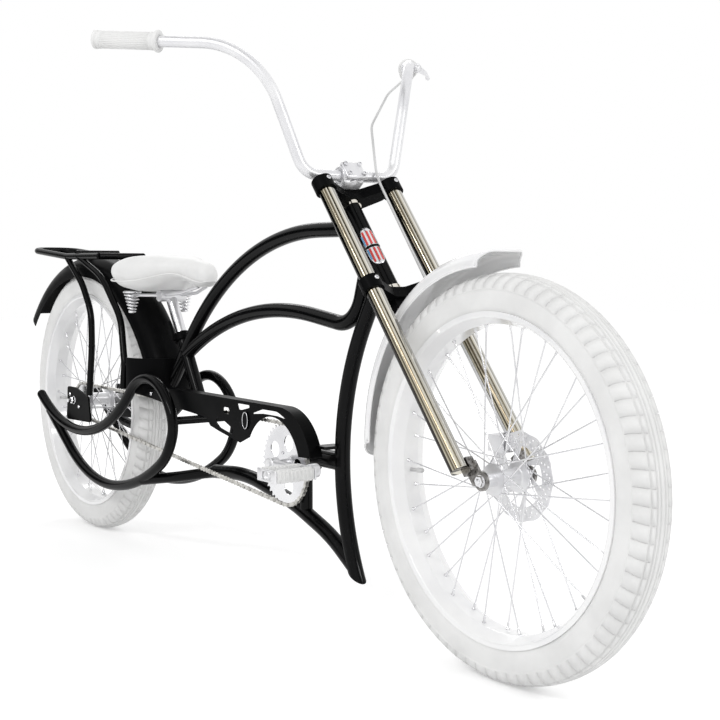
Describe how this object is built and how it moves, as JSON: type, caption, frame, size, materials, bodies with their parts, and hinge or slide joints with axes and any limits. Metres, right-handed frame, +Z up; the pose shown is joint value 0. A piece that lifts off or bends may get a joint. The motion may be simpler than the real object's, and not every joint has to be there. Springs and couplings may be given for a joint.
{
  "type": "chopper bicycle",
  "caption": "Chopper bicycle with a long raked double-crown fork, arched twin tubes, looped side hoops, tall bars, fat tyres, sprung saddle and rear rack.",
  "frame": {"origin": "middle of the saddle's top, where the rider sits", "axes": "+X forward, +Y to the rider's left, +Z up"},
  "size_m": [2.3731, 0.808, 1.1772],
  "materials": {
    "frame_paint": "gloss black paint",
    "sheet_paint": "gloss black paint",
    "crown_paint": "gloss black paint",
    "chrome": "polished chrome",
    "pale_metal": "pale brushed alloy",
    "pale_paint": "white paint",
    "steel": "bright steel",
    "pale_tyre": "white rubber",
    "pale_rubber": "white rubber",
    "saddle_cover": "white vinyl cover",
    "hose": "grey sleeve",
    "badge": "satin metal"
  },
  "bodies": {
    "frame": {"head_tube": "frame_paint", "headset_cups": "chrome", "hoop_right": "frame_paint", "hoop_left": "frame_paint", "top_tube": "frame_paint", "down_tube": "frame_paint", "middle_tube": "frame_paint", "keel": "frame_paint", "bottom_bracket": "frame_paint", "guard_bracket": "frame_paint", "seat_tube": "frame_paint", "seat_stay": "frame_paint", "seat_post": "pale_metal", "seat_clamp": "frame_paint", "rear_bridge": "frame_paint", "dropouts": "frame_paint", "chain_guard": "sheet_paint", "guard_badge": "badge", "rear_fender": "sheet_paint", "rear_rack": "frame_paint", "saddle": "saddle_cover", "saddle_frame": "pale_metal", "saddle_springs": "pale_metal", "chain": "steel", "rear_axle": "pale_metal"},
    "fork": {"fork_legs": "chrome", "steerer": "chrome", "upper_crown": "crown_paint", "lower_crown": "crown_paint", "fork_ends": "crown_paint", "handlebar": "pale_metal", "bar_clamp": "pale_metal", "grips": "pale_rubber", "brake_lever": "pale_metal", "brake_caliper": "pale_metal", "brake_hose": "hose", "front_fender": "pale_paint", "fender_bracket": "crown_paint", "front_axle": "pale_metal"},
    "front_wheel": {"front_tyre": "pale_tyre", "front_rim": "pale_paint", "front_hub": "pale_metal", "front_spokes": "steel", "brake_disc": "steel"},
    "rear_wheel": {"rear_tyre": "pale_tyre", "rear_rim": "pale_paint", "rear_hub": "pale_metal", "rear_spokes": "steel", "rear_sprocket": "steel"},
    "crankset": {"crank": "pale_metal", "chainring": "steel"},
    "right_pedal": {"pedal_right": "pale_rubber"},
    "left_pedal": {"pedal_left": "pale_rubber"}
  },
  "joints": [
    {"name": "steering", "type": "hinge", "parent": "frame", "child": "fork", "pos_m": [0.84518, 0, 0.00425], "axis": [-0.6342, 0, 0.7732], "range_deg": [-40, 40]},
    {"name": "front_wheel_spin", "type": "hinge", "parent": "fork", "child": "front_wheel", "pos_m": [1.236, 0, -0.387], "axis": [0, 1, 0], "continuous": true},
    {"name": "rear_wheel_spin", "type": "hinge", "parent": "frame", "child": "rear_wheel", "pos_m": [-0.42, 0, -0.387], "axis": [0, 1, 0], "continuous": true},
    {"name": "crank_spin", "type": "hinge", "parent": "frame", "child": "crankset", "pos_m": [0.605, 0, -0.437], "axis": [0, 1, 0], "continuous": true},
    {"name": "right_pedal_spin", "type": "hinge", "parent": "crankset", "child": "right_pedal", "pos_m": [0.775, -0.092, -0.425], "axis": [0, 1, 0], "continuous": true},
    {"name": "left_pedal_spin", "type": "hinge", "parent": "crankset", "child": "left_pedal", "pos_m": [0.435, 0.092, -0.449], "axis": [0, 1, 0], "continuous": true}
  ]
}
